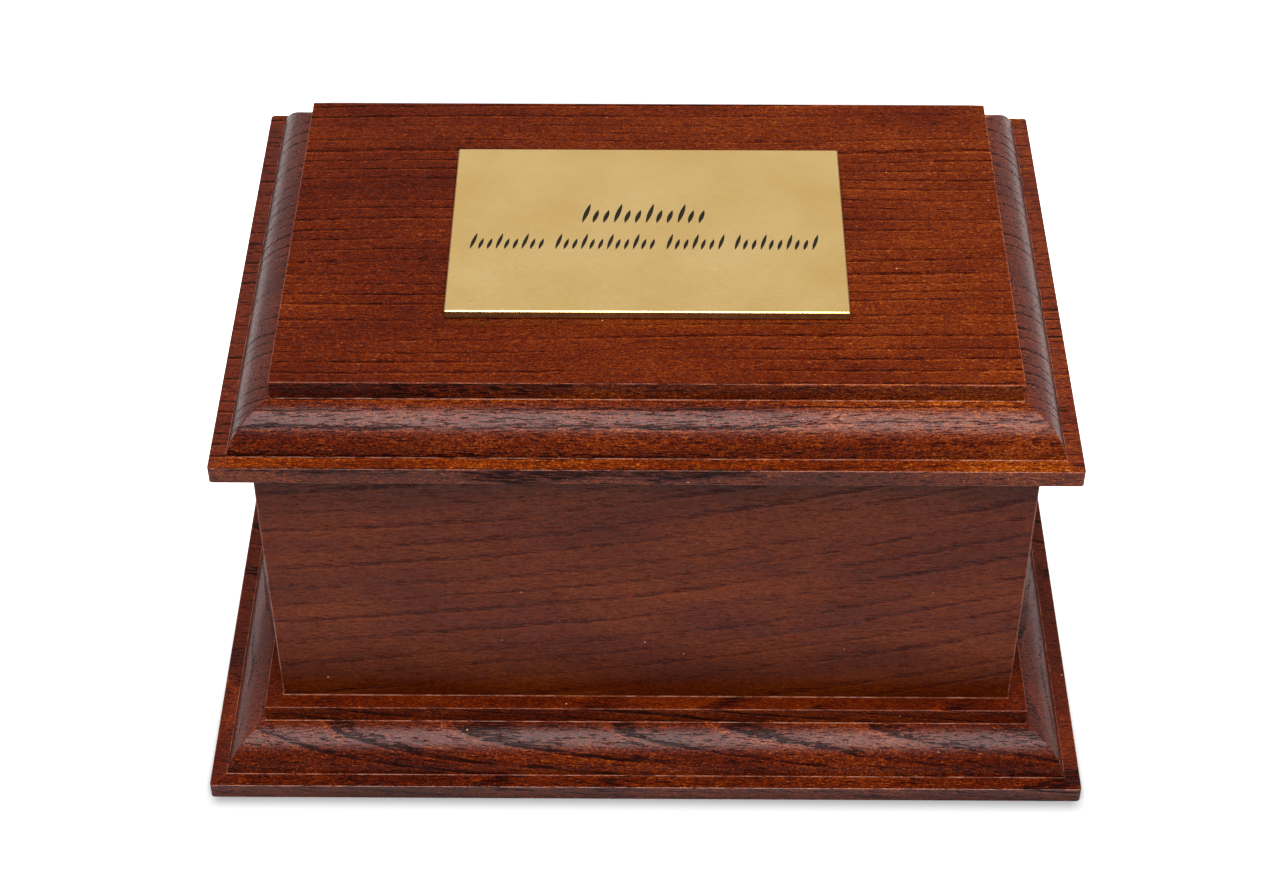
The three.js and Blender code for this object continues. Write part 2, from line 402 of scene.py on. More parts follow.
# Moulding of the lid and base, in millimetres from the outer edge and from the underside
moulding = {
    "edgeHeight": 6.0,
    "ledgeWidth": 5.3,
    "ovoloRun": 12.1,
    "ovoloRise": 12.5,
    "ovoloRadius": 15.5,
    "ovoloTopFlat": 1.0,
    "arris": 0.28,
    # Lighter edge lines on the roundings and mitre ridges: partly wear, partly painted highlight
    "arrisWearAndHighlight": 0.82,
    "wearAndHighlightReach": 0.15,
    "lacquerFillet": 0.25,
    # The lid's ledge and shelf are lighter: thinner stain, and partly a painted glow of light reflected
    # down from the ovolo
    "ledgeLightening": 0.4,
    "shelfLightening": 0.35,
    "shelfFade": 3,  # points of the ovolo over which the shelf's lightening begins
    "fieldRing": 4.0,  # plain ring inside the raised field's arris
    "markMargin": 0.1,  # counts the raised field's side as moulded
    "easeSteps": 4,
    "cornerRadius": 1.2,
    "cornerSteps": 4,
    "ridgeRadius": 0.3,
    "ridgeWearAndHighlight": 0.8,
    "ovoloSteps": 18,
}


# Turns corners (inset, height, easing radius, lightening before and after) into an outline with
# rounded corners. Each point carries its wear-and-highlight mark, a lighter line that is partly wear
# and partly painted highlight: fully on a rounding, and as given a little way past it.
def easedOutline(corners):
    points = []
    wearAndHighlightReach = moulding["wearAndHighlightReach"]
    for i, (inset, height, ease, lightBefore, lightAfter) in enumerate(corners):
        corner = Vector((inset, height))
        if ease == 0:
            points.append((corner, lightAfter))
            continue
        before = (Vector(corners[i - 1][:2]) - corner).normalized()
        after = (Vector(corners[i + 1][:2]) - corner).normalized()
        half = before.angle(after) / 2
        centre = corner + (before + after).normalized() * ease / math.sin(half)
        cut = ease / math.tan(half)
        points.append((corner + before * (cut + wearAndHighlightReach), lightBefore))
        hollow = before.cross(after) < 0
        rounding = arcPoints(centre, corner + before * cut, corner + after * cut, moulding["easeSteps"])
        points += [(p, 1.0 if hollow else moulding["arrisWearAndHighlight"]) for p in rounding]
        points.append((corner + after * (cut + wearAndHighlightReach), lightAfter))
    return points


def ovoloPoints(m):
    foot = Vector((m["ledgeWidth"], m["edgeHeight"]))
    top = foot + Vector((m["ovoloRun"], m["ovoloRise"]))
    chord = top - foot
    back = math.sqrt(m["ovoloRadius"] ** 2 - (chord.length / 2) ** 2)
    centre = (foot + top) / 2 + Vector((chord.y, -chord.x)).normalized() * back
    return arcPoints(centre, foot, top, m["ovoloSteps"])


def mouldedCorners(m, thickness, bottom):
    ovolo = ovoloPoints(m)
    field = m["ledgeWidth"] + m["ovoloRun"] + m["ovoloTopFlat"]
    ledge, shelf = m["ledgeLightening"], m["shelfLightening"]
    corners = [(inset, height, ease, 0.0, 0.0) for inset, height, ease in bottom]
    corners += [
        (0, 0, m["arris"], 0.0, 0.0),
        (0, m["edgeHeight"], m["arris"], 0.0, ledge),
        (ovolo[0].x, ovolo[0].y, m["lacquerFillet"], ledge, 0.0),
    ]
    for i, point in enumerate(ovolo[1:], 1):
        nearTop = max(0, (i + m["shelfFade"] - m["ovoloSteps"]) / m["shelfFade"])
        corners.append((point.x, point.y, 0, 0.0, shelf * nearTop))
    corners += [
        (field, ovolo[-1].y, m["lacquerFillet"], shelf, 0.0),
        (field, thickness, m["arris"], 0.0, 0.0),
        (field + m["fieldRing"], thickness, 0, 0.0, 0.0),
    ]
    return corners


def outlineCurve(name, points):
    data = bpy.data.curves.new(name, "CURVE")
    data.dimensions = "3D"
    spline = data.splines.new("POLY")
    spline.points.add(len(points) - 1)
    for slot, (point, worn) in zip(spline.points, points):
        slot.co = (point.x * mm, point.y * mm, 0, 1)
        slot.radius = worn
    return link(bpy.data.objects.new(name, data))


# Geometry Nodes: carries an outline round a rectangle. Each corner of the path has a few points, which
# spread on a small radius at the outer edge and gather on a mitre ridge further in, marked with wear and
# painted highlight.
def boardTree():
    tree = bpy.data.node_groups.new("moulded board", "GeometryNodeTree")
    face = tree.interface
    for name, kind in (
        ("Width", "NodeSocketFloat"), ("Depth", "NodeSocketFloat"), ("Bottom", "NodeSocketFloat"),
        ("Corner Radius", "NodeSocketFloat"), ("Ridge Radius", "NodeSocketFloat"),
        ("Ridge Wear", "NodeSocketFloat"), ("Moulding Width", "NodeSocketFloat"),
        ("Corner Steps", "NodeSocketInt"),
        ("Outline", "NodeSocketObject"), ("Material", "NodeSocketMaterial"),
    ):
        face.new_socket(name, in_out="INPUT", socket_type=kind)
    face.new_socket("Mesh", in_out="OUTPUT", socket_type="NodeSocketGeometry")
    given = tree.nodes.new("NodeGroupInput").outputs

    perCorner = mathNode(tree, "ADD", given["Corner Steps"], 1.0)
    count = mathNode(tree, "MULTIPLY", perCorner, 4.0)
    path = addNode(tree, "GeometryNodeCurvePrimitiveCircle", {"Resolution": count, "Radius": 1.0})
    index = addNode(tree, "GeometryNodeInputIndex").outputs[0]
    corner = mathNode(tree, "DIVIDE", mathNode(tree, "ADD", index, 0.5), perCorner)
    quarter = mathNode(tree, "FLOOR", corner)
    inCorner = mathNode(tree, "SUBTRACT", index, mathNode(tree, "MULTIPLY", quarter, perCorner))
    share = mathNode(tree, "DIVIDE", inCorner, given["Corner Steps"])
    angle = mathNode(tree, "MULTIPLY", mathNode(tree, "ADD", quarter, share), math.pi / 2)
    middle = mathNode(tree, "MULTIPLY", mathNode(tree, "ADD", quarter, 0.5), math.pi / 2)

    capture = addNode(tree, "GeometryNodeCaptureAttribute", {0: path.outputs[0]}, domain="POINT")
    capture.capture_items.new("FLOAT", "Angle")
    capture.capture_items.new("FLOAT", "Middle")
    capture.capture_items.new("FLOAT", "Ridge")
    fromRidge = mathNode(tree, "ABSOLUTE", mathNode(tree, "SUBTRACT", share, 0.5))
    ridge = mathNode(tree, "SUBTRACT", 1.0, mathNode(tree, "MULTIPLY", fromRidge, 2.0))
    tree.links.new(angle, capture.inputs["Angle"])
    tree.links.new(middle, capture.inputs["Middle"])
    tree.links.new(mathNode(tree, "MULTIPLY", ridge, given["Ridge Wear"]), capture.inputs["Ridge"])

    source = addNode(tree, "GeometryNodeObjectInfo", {"Object": given["Outline"]})
    position = addNode(tree, "GeometryNodeInputPosition").outputs[0]
    shape = source.outputs["Geometry"]
    outline = addNode(tree, "GeometryNodeCaptureAttribute", {0: shape}, domain="POINT")
    outline.capture_items.new("VECTOR", "Section")
    outline.capture_items.new("FLOAT", "Worn")
    tree.links.new(position, outline.inputs["Section"])
    tree.links.new(addNode(tree, "GeometryNodeInputRadius").outputs[0], outline.inputs["Worn"])
    swept = addNode(
        tree, "GeometryNodeCurveToMesh",
        {"Curve": capture.outputs[0], "Profile Curve": outline.outputs[0]},
    )
    section = addNode(tree, "ShaderNodeSeparateXYZ", {0: outline.outputs["Section"]})
    inset, height = section.outputs[0], section.outputs[1]
    radius = mathNode(tree, "SUBTRACT", given["Corner Radius"], inset)
    radius = mathNode(tree, "MAXIMUM", radius, given["Ridge Radius"])
    ends = []
    for operation, size in (("COSINE", given["Width"]), ("SINE", given["Depth"])):
        side = mathNode(tree, "SIGN", mathNode(tree, operation, capture.outputs["Middle"]))
        reach = mathNode(tree, "MULTIPLY", size, 0.5)
        reach = mathNode(tree, "SUBTRACT", mathNode(tree, "SUBTRACT", reach, inset), radius)
        turn = mathNode(tree, "MULTIPLY", mathNode(tree, operation, capture.outputs["Angle"]), radius)
        ends.append(mathNode(tree, "MULTIPLY_ADD", side, reach, turn))
    up = mathNode(tree, "ADD", height, given["Bottom"])
    place = addNode(tree, "ShaderNodeCombineXYZ", {0: ends[0], 1: ends[1], 2: up})
    moved = addNode(
        tree, "GeometryNodeSetPosition", {"Geometry": swept.outputs[0], "Position": place.outputs[0]}
    )
    moulded = mathNode(tree, "LESS_THAN", inset, given["Moulding Width"])
    ridgeMark = mathNode(tree, "MULTIPLY", capture.outputs["Ridge"], moulded)
    marked = moved.outputs[0]
    # Stores the wear-and-highlight mark, partly wear and partly painted highlight, and the moulded mark
    for name, value in (
        ("worn", mathNode(tree, "MAXIMUM", outline.outputs["Worn"], ridgeMark)), ("moulded", moulded),
    ):
        marked = addNode(
            tree, "GeometryNodeStoreNamedAttribute", {"Geometry": marked, "Name": name, "Value": value},
            domain="POINT",
        ).outputs[0]
    merged = addNode(tree, "GeometryNodeMergeByDistance", {"Geometry": marked, "Distance": weldReach})
    real = addNode(tree, "GeometryNodeRealizeInstances", {"Geometry": merged.outputs[0]})
    done = addNode(
        tree, "GeometryNodeSetMaterial", {"Geometry": real.outputs[0], "Material": given["Material"]}
    )
    result = tree.nodes.new("NodeGroupOutput")
    tree.links.new(done.outputs[0], result.inputs[0])
    return tree


# Evaluates a tree with its named inputs and returns the result as a plain mesh
def meshFromTree(name, tree, inputs):
    carrier = link(bpy.data.objects.new(name + "_maker", bpy.data.meshes.new(name + "_maker")))
    modifier = carrier.modifiers.new("nodes", "NODES")
    modifier.node_group = tree
    for item in tree.interface.items_tree:
        if item.in_out == "INPUT" and item.name in inputs:
            modifier[item.identifier] = inputs[item.name]
    bpy.context.view_layer.update()
    evaluated = carrier.evaluated_get(bpy.context.evaluated_depsgraph_get())
    mesh = bpy.data.meshes.new_from_object(evaluated)
    mesh.name = name
    carrier.modifiers.remove(modifier)
    bpy.data.objects.remove(carrier)
    return mesh


# Closes open rims, points faces outwards and shades flats flat and roundings smooth
def finishMesh(name, mesh, smoothAngle=35):
    work = bmesh.new()
    work.from_mesh(mesh)
    bmesh.ops.holes_fill(work, edges=[e for e in work.edges if e.is_boundary], sides=0)
    bmesh.ops.dissolve_degenerate(work, edges=work.edges, dist=sliver)
    bmesh.ops.recalc_face_normals(work, faces=work.faces)
    work.to_mesh(mesh)
    work.free()
    mesh.polygons.foreach_set("use_smooth", [True] * len(mesh.polygons))
    mesh.set_sharp_from_angle(angle=math.radians(smoothAngle))
    piece = link(bpy.data.objects.new(name, mesh))
    weighting = piece.modifiers.new("weighting", "WEIGHTED_NORMAL")
    weighting.keep_sharp = True
    weighting.weight = 100
    evaluated = piece.evaluated_get(bpy.context.evaluated_depsgraph_get())
    piece.data = bpy.data.meshes.new_from_object(evaluated)
    piece.data.name = name
    piece.modifiers.remove(weighting)
    return piece


def claim(piece, slot, *nodes):
    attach(piece, "root")
    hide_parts(*nodes)


board = boardTree()


def sweptBoard(name, low, high, bottom, corners, mouldedWidth, cornerRadius, cornerSteps, material):
    outline = outlineCurve(name + "_outline", easedOutline(corners))
    mesh = meshFromTree(name, board, {
        "Width": high.x - low.x, "Depth": high.y - low.y, "Bottom": bottom,
        "Corner Radius": cornerRadius * mm, "Ridge Radius": moulding["ridgeRadius"] * mm,
        "Ridge Wear": moulding["ridgeWearAndHighlight"], "Moulding Width": mouldedWidth * mm,
        "Corner Steps": cornerSteps, "Outline": outline, "Material": material,
    })
    bpy.data.objects.remove(outline)
    return mesh


# Stain and lacquer that all the boards share. Lengths are in millimetres, tones run from 0, darkest,
# to 1, and films are weights of the lacquer coat.
finish = {
    "turned": False, "halves": (0, 0), "follow": 1.0, "drift": 0.0,
    "stain": (
        (0.0, (0.008, 0.001, 0.0005)), (0.2, (0.022, 0.0017, 0.0003)), (0.4, (0.042, 0.0037, 0.0001)),
        (0.55, (0.067, 0.0077, 0.0002)), (0.75, (0.112, 0.018, 0.0008)), (1.0, (0.2, 0.054, 0.008)),
    ),
    "fibres": (  # waves per millimetre along and across, strength
        (0.03, 0.8, 0.06), (0.1, 1.2, 0.11), (0.25, 1.6, 0.22),
        (0.55, 1.9, 0.42), (1.1, 2.2, 0.66), (1.9, 2.4, 0.64),
    ),
    "tone": 0.47, "blotch": 0.45, "mouldedContrast": 0.42, "endContrast": -0.2, "endTone": -0.08,
    "unevenPace": 0.45, "bandWidth": 0.3, "bandCore": 0.3, "bandDepth": 0.24, "faintest": 0.25,
    "dashAlong": 0.2, "dashAcross": 1.9, "betweenDashes": 0.3,
    "poreLimit": 0.62, "poreEdge": 0.05, "poreDepth": 0.22, "paleDepth": 0.18, "hairDepth": 0.2,
    "bandCrowding": 0.14, "mouldedCrowding": 0.035, "mouldedPores": 0.9,
    "nib": (0.36, 0.2, 0.11, 1), "nibSize": 0.045, "nibSpread": 0.15, "faintestEdgeLine": 0.1,
    # Pale edge line colour, lightening and line strength: partly wear, partly painted highlight
    "rubbed": (0.2, 0.085, 0.055, 1), "lightened": (1.45, 1.7, 1.3, 1), "edgeLineStrength": 0.6,
    "foot": 25, "footFade": 38, "footShade": 1.0,
    "relief": 0.00008, "toneRelief": 0.3, "nibRelief": 1.5, "swellRelief": 0.2,
    "roughness": (0.45, 0.56), "poreRoughness": 0.2, "underSheen": 0.0,
    "lacquerIor": 1.45, "coatRoughness": 0.29, "coatThin": 0.15, "coatThick": 0.4,
    "endFilm": 0.22, "edgeFilm": 0.34, "edgeReach": 0.2, "evenFilm": 0.75,
    "poreFilm": 0.5, "bandFilm": 0.65, "flatFilm": 1.0,
}

# Lid, with a tongue below that drops between the walls
lidSet = {
    "tongueClearance": 0.5, "tongueEase": 0.4, "tongueFillet": 0.2, "tongueRing": 4.0,
    "figure": {
        **finish, "seed": 3.7, "pithY": -330, "pithZ": 120, "slopeY": 0.012, "slopeZ": 0.01, "bow": 0.0,
        "ringWidth": 5.2, "wander": 9.0, "unevenRings": 0.9, "ragged": 0.3,
        # drift: painted light, the lid lighter towards its right-hand end
        "tone": 0.46, "drift": 0.0005, "bandDepth": 0.2, "poreDepth": 0.2, "flatFilm": 0.8,
    },
}

# Base, whose ledge and shelf are not lightened
baseSet = {
    "ledgeLightening": 0.0, "shelfLightening": 0.0, "undersideRing": 2.0,
    "figure": {
        **finish, "seed": 8.1, "pithY": -60, "pithZ": -180, "slopeY": 0.0, "slopeZ": -0.11, "bow": 0.0,
        "ringWidth": 4.8, "wander": 9.0, "unevenRings": 1.0, "ragged": 0.2,
        "tone": 0.375, "endTone": 0.03, "bandDepth": 0.28, "bandWidth": 0.34, "faintest": 0.1,
        "dashAlong": 0.1, "bandFilm": 0.85, "coatThin": 0.13, "coatThick": 0.35, "edgeFilm": 0.5,
    },
}

# Walls
wallSet = {
    "arris": 0.4, "footFillet": 0.3, "wearAndHighlightReach": 0.15, "easeSteps": 4, "smoothAngle": 40,
    "figure": {
        **finish, "seed": 5.3, "pithY": 40, "pithZ": -190, "slopeY": 0.0, "slopeZ": 0.17, "bow": 0.0009,
        "ringWidth": 8.0, "wander": 9.0, "unevenRings": 0.8, "ragged": 0.3, "follow": 0.1,
        "fibres": (
            (0.03, 0.8, 0.08), (0.1, 1.2, 0.12), (0.25, 1.6, 0.22), (0.55, 1.9, 0.36), (1.1, 2.2, 0.4),
        ),
        # footShade: painted shade darkening the walls' lowest part
        "tone": 0.53, "footShade": 0.57, "bandWidth": 0.34, "bandDepth": 0.115,
        "poreDepth": 0.16, "paleDepth": 0.08, "hairDepth": 0.08,
        "coatThin": 0.33, "coatThick": 0.54, "coatRoughness": 0.15, "poreFilm": 0.8, "bandFilm": 0.92,
    },
}
sideSeed = 6.9

lidLow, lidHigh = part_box("lid_board")
baseLow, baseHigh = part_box("base_board")
frontLow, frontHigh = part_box("front_wall")
leftLow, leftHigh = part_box("left_wall")
plateLow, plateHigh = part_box("name_plate")
boardThickness = baseHigh.z / mm
wallThickness = (frontHigh.y - frontLow.y) / mm
lidUnderside = lidHigh.z - baseHigh.z
tongueInset = (leftHigh.x - lidLow.x) / mm + lidSet["tongueClearance"]
tongueDepth = (lidUnderside - lidLow.z) / mm

lidWood = woodMaterial("lid wood", {**lidSet["figure"], "halves": (lidHigh.x / mm, lidHigh.y / mm)})
baseWood = woodMaterial("base wood", {**baseSet["figure"], "halves": (baseHigh.x / mm, baseHigh.y / mm)})
wallWood = woodMaterial("wall wood", wallSet["figure"])
sideWood = woodMaterial("side wall wood", {**wallSet["figure"], "turned": True, "seed": sideSeed})

lidBottom = [
    (tongueInset + lidSet["tongueRing"], -tongueDepth, 0),
    (tongueInset, -tongueDepth, lidSet["tongueEase"]),
    (tongueInset, 0, lidSet["tongueFillet"]),
]
lidCorners = mouldedCorners(moulding, boardThickness, lidBottom)
mouldedWidth = moulding["ledgeWidth"] + moulding["ovoloRun"] + moulding["ovoloTopFlat"]
mouldedWidth += moulding["markMargin"]
lidMesh = sweptBoard(
    "moulded_lid", lidLow, lidHigh, lidUnderside, lidCorners, mouldedWidth,
    moulding["cornerRadius"], moulding["cornerSteps"], lidWood,
)
lid = finishMesh("moulded_lid", lidMesh)
claim(lid, "lid_wood", "lid_board")
print("lid ready", len(lid.data.polygons))

baseMoulding = {**moulding, "ledgeLightening": baseSet["ledgeLightening"], "shelfLightening": baseSet["shelfLightening"]}
baseBottom = [(mouldedWidth + baseSet["undersideRing"], 0, 0)]
baseCorners = mouldedCorners(baseMoulding, boardThickness, baseBottom)
baseMesh = sweptBoard(
    "moulded_base", baseLow, baseHigh, baseLow.z, baseCorners, mouldedWidth,
    moulding["cornerRadius"], moulding["cornerSteps"], baseWood,
)
base = finishMesh("moulded_base", baseMesh)
claim(base, "base_wood", "base_board")
print("base ready", len(base.data.polygons))


# One mitred wall, drawn as if it stood at the front, then turned to its side
def wallMesh(name, length, halfDepth, turn, settings):
    arris = settings["arris"] * mm
    fillet = settings["footFillet"] * mm
    thick = wallThickness * mm
    steps = settings["easeSteps"]

    def plan(out):
        half = length / 2
        points = [(half - arris - settings["wearAndHighlightReach"] * mm, -halfDepth - out, 0.0)]
        for k in range(steps + 1):
            a = math.radians(-90 + 45 * k / steps)
            x = half - arris + (arris + out) * math.cos(a)
            points.append((x, -halfDepth + arris + (arris + out) * math.sin(a), 1.0))
        points.append((half - thick, thick - halfDepth, 0.0))
        return points + [(-x, y, edgeLineStrength) for x, y, edgeLineStrength in reversed(points)]

    levels = []
    for k in range(steps + 1):
        a = math.radians(90 * k / steps)
        levels.append((baseHigh.z + fillet * (1 - math.cos(a)), fillet * (1 - math.sin(a)), 1.0))
    levels.append((baseHigh.z + fillet + settings["wearAndHighlightReach"] * mm, 0, 0.0))
    levels.append((lidUnderside, 0, 0.0))
    work = bmesh.new()
    # Each point carries a mark on the eased arrises and the foot fillet: partly wear, partly painted
    # highlight
    worn = work.verts.layers.float.new("worn")
    rings = []
    for z, out, footMark in levels:
        ring = []
        for x, y, edgeMark in plan(out):
            vert = work.verts.new((x, y, z))
            vert[worn] = max(footMark, edgeMark)
            ring.append(vert)
        rings.append(ring)
    for lower, upper in zip(rings, rings[1:]):
        for i in range(len(lower)):
            j = (i + 1) % len(lower)
            work.faces.new((lower[i], lower[j], upper[j], upper[i]))
    work.faces.new(list(reversed(rings[0])))
    work.faces.new(rings[-1])
    bmesh.ops.rotate(work, verts=work.verts, matrix=Matrix.Rotation(math.radians(turn), 3, "Z"))
    mesh = bpy.data.meshes.new(name)
    work.to_mesh(mesh)
    work.free()
    return mesh


boxWidth = 2 * -leftLow.x
boxDepth = 2 * -frontLow.y
for side, length, reach, turn in (
    ("front", boxWidth, boxDepth / 2, 0), ("right", boxDepth, boxWidth / 2, 90),
    ("back", boxWidth, boxDepth / 2, 180), ("left", boxDepth, boxWidth / 2, -90),
):
    mesh = wallMesh("box_" + side, length, reach, turn, wallSet)
    mesh.materials.append(sideWood if turn % 180 else wallWood)
    piece = finishMesh("box_" + side, mesh, wallSet["smoothAngle"])
    claim(piece, "wall_wood", side + "_wall")
print("walls ready")

# Plate with two rows of strokes
plateSet = {
    "chamfer": 0.34,
    "cornerRadius": 0.4,
    "cornerSteps": 3,
    "ring": 3.0,
    "footEase": 0.1,
    "arrisEase": 0.05,
    "strokeDepth": 0.25,
    "strokeSteps": 8,
    "lean": 14.0,
    "shortStroke": 0.68,
    "strokeShare": 0.45,
    "groupGap": 1.9,
    "sideMargin": 8.5,
    "upperRow": {"groups": (12,), "y": 7.2, "height": 10.2},
    "lowerRow": {"groups": (9, 12, 7, 10), "y": -7.4, "height": 8.2},
    "finish": {
        "deep": (0.87, 0.57, 0.2, 1), "pale": (0.965, 0.68, 0.285, 1), "roughness": (0.31, 0.4),
        "mottle": (35, 35, 35), "rubbing": (600, 6000, 600), "spread": (0.3, 0.7),
        "relief": 0.00001, "strength": 0.4, "mottleRelief": 0.6,
        # Painted shade factors for the sides, the chamfers and the seam with the wood
        "sideShade": 0.5, "seamShadow": 0.05, "seamHeight": 0.0006, "chamferShade": 0.5,
        "sideSteepness": (0.3, 0.6), "faceSteepness": (0.8, 0.95),
    },
    "filling": {
        "deep": (0.003, 0.003, 0.002, 1), "pale": (0.012, 0.009, 0.006, 1), "fineness": 3000.0,
        "roughness": 0.7, "sheen": 0.1,
    },
}
brass = brassMaterial("satin brass", {**plateSet["finish"], "foot": plateLow.z})
filling = fillingMaterial("black filling", plateSet["filling"])
plateThickness = (plateHigh.z - plateLow.z) / mm
plateCorners = [
    (plateSet["ring"], 0, 0, 0, 0),
    (0, 0, plateSet["footEase"], 0, 0),
    (0, plateThickness - plateSet["chamfer"], plateSet["arrisEase"], 0, 0),
    (plateSet["chamfer"], plateThickness, plateSet["arrisEase"], 0, 0),
    (plateSet["ring"], plateThickness, 0, 0, 0),
]
plateMesh = sweptBoard(
    "engraved_plate", plateLow, plateHigh, plateLow.z, plateCorners, 0.0,
    plateSet["cornerRadius"], plateSet["cornerSteps"], brass,
)


# Geometry Nodes: a line of upright leaf strokes, every third one full height, then leant over
def strokeTree():
    tree = bpy.data.node_groups.new("stroke group", "GeometryNodeTree")
    face = tree.interface
    for name, kind in (
        ("Leaf", "NodeSocketObject"), ("Count", "NodeSocketInt"), ("Pitch", "NodeSocketFloat"),
        ("Start", "NodeSocketVector"), ("Height", "NodeSocketFloat"), ("Width", "NodeSocketFloat"),
        ("Short Stroke", "NodeSocketFloat"), ("Lean", "NodeSocketFloat"),
        ("Material", "NodeSocketMaterial"),
    ):
        face.new_socket(name, in_out="INPUT", socket_type=kind)
    face.new_socket("Mesh", in_out="OUTPUT", socket_type="NodeSocketGeometry")
    given = tree.nodes.new("NodeGroupInput").outputs
    step = addNode(tree, "ShaderNodeCombineXYZ", {0: given["Pitch"]})
    line = addNode(
        tree, "GeometryNodeMeshLine",
        {"Count": given["Count"], "Start Location": given["Start"], "Offset": step.outputs[0]},
        mode="OFFSET",
    )
    index = addNode(tree, "GeometryNodeInputIndex").outputs[0]
    third = mathNode(tree, "MODULO", index, 3.0)
    short = mathNode(tree, "GREATER_THAN", third, 0.5)
    loss = mathNode(tree, "SUBTRACT", 1.0, given["Short Stroke"])
    tall = mathNode(tree, "SUBTRACT", 1.0, mathNode(tree, "MULTIPLY", short, loss))
    size = addNode(
        tree, "ShaderNodeCombineXYZ",
        {0: given["Width"], 1: mathNode(tree, "MULTIPLY", tall, given["Height"]), 2: 1.0},
    )
    leaf = addNode(tree, "GeometryNodeObjectInfo", {"Object": given["Leaf"]})
    placed = addNode(
        tree, "GeometryNodeInstanceOnPoints",
        {"Points": line.outputs[0], "Instance": leaf.outputs["Geometry"], "Scale": size.outputs[0]},
    )
    real = addNode(tree, "GeometryNodeRealizeInstances", {"Geometry": placed.outputs[0]})
    position = addNode(tree, "GeometryNodeInputPosition").outputs[0]
    foot = addNode(tree, "ShaderNodeSeparateXYZ", {0: given["Start"]}).outputs[1]
    level = addNode(tree, "ShaderNodeSeparateXYZ", {0: position}).outputs[1]
    rise = mathNode(tree, "SUBTRACT", level, foot)
    shift = addNode(tree, "ShaderNodeCombineXYZ", {0: mathNode(tree, "MULTIPLY", rise, given["Lean"])})
    leant = addNode(
        tree, "GeometryNodeSetPosition", {"Geometry": real.outputs[0], "Offset": shift.outputs[0]}
    )
    done = addNode(
        tree, "GeometryNodeSetMaterial", {"Geometry": leant.outputs[0], "Material": given["Material"]}
    )
    result = tree.nodes.new("NodeGroupOutput")
    tree.links.new(done.outputs[0], result.inputs[0])
    return tree


# A pointed leaf one metre long and half a metre wide, standing on its foot, as a thin closed prism
def leafObject(depth, steps):
    outline = [(t * (1 - t), t) for t in [k / steps for k in range(steps + 1)]]
    outline += [(-x, y) for x, y in reversed(outline[1:-1])]
    work = bmesh.new()
    low = [work.verts.new((x, y, -depth)) for x, y in outline]
    high = [work.verts.new((x, y, depth)) for x, y in outline]
    work.faces.new(list(reversed(low)))
    work.faces.new(high)
    for i in range(len(low)):
        j = (i + 1) % len(low)
        work.faces.new((low[i], low[j], high[j], high[i]))
    bmesh.ops.recalc_face_normals(work, faces=work.faces)
    mesh = bpy.data.meshes.new("leaf")
    work.to_mesh(mesh)
    work.free()
    return link(bpy.data.objects.new("leaf", mesh))


# Length of a row counted in stroke pitches
def rowPitches(row):
    gaps = len(row["groups"]) - 1
    return sum(row["groups"]) - len(row["groups"]) + gaps * plateSet["groupGap"]


strokes = strokeTree()
leaf = leafObject(plateSet["strokeDepth"] * mm, plateSet["strokeSteps"])
lean = math.tan(math.radians(plateSet["lean"]))
plateMiddle = (plateLow + plateHigh) / 2
lowerRow = plateSet["lowerRow"]
span = (plateHigh.x - plateLow.x) / mm - 2 * plateSet["sideMargin"]
cutters = []
for row in (plateSet["upperRow"], lowerRow):
    pitch = span / rowPitches(lowerRow) * row["height"] / lowerRow["height"]
    x = -rowPitches(row) * pitch / 2 - row["height"] / 2 * lean
    for count in row["groups"]:
        foot = Vector((x, row["y"] - row["height"] / 2, 0)) * mm
        start = Vector((plateMiddle.x, plateMiddle.y, plateHigh.z)) + foot
        cutters.append(meshFromTree("strokes", strokes, {
            "Leaf": leaf, "Count": count, "Pitch": pitch * mm, "Start": start,
            "Height": row["height"] * mm, "Width": 2 * plateSet["strokeShare"] * pitch * mm,
            "Short Stroke": plateSet["shortStroke"], "Lean": lean, "Material": filling,
        }))
        x += (count - 1 + plateSet["groupGap"]) * pitch
bpy.data.objects.remove(leaf)

slab = bmesh.new()
slab.from_mesh(plateMesh)
bmesh.ops.holes_fill(slab, edges=[e for e in slab.edges if e.is_boundary], sides=0)
bmesh.ops.recalc_face_normals(slab, faces=slab.faces)
slab.to_mesh(plateMesh)
slab.free()
plateMesh.materials.append(filling)
plateBlank = link(bpy.data.objects.new("plate_blank", plateMesh))
for mesh in cutters:
    cutter = link(bpy.data.objects.new("cutter", mesh))
    cut = plateBlank.modifiers.new("cut", "BOOLEAN")
    cut.operation = "DIFFERENCE"
    cut.solver = "EXACT"
    cut.object = cutter
    cut.material_mode = "TRANSFER"
evaluated = plateBlank.evaluated_get(bpy.context.evaluated_depsgraph_get())
engraved = bpy.data.meshes.new_from_object(evaluated)
for obj in [o for o in bpy.data.objects if o.name.startswith("cutter")] + [plateBlank]:
    bpy.data.objects.remove(obj)
plate = finishMesh("engraved_plate", engraved)
claim(plate, "plate_brass", "name_plate")
print("plate ready", len(plate.data.polygons))

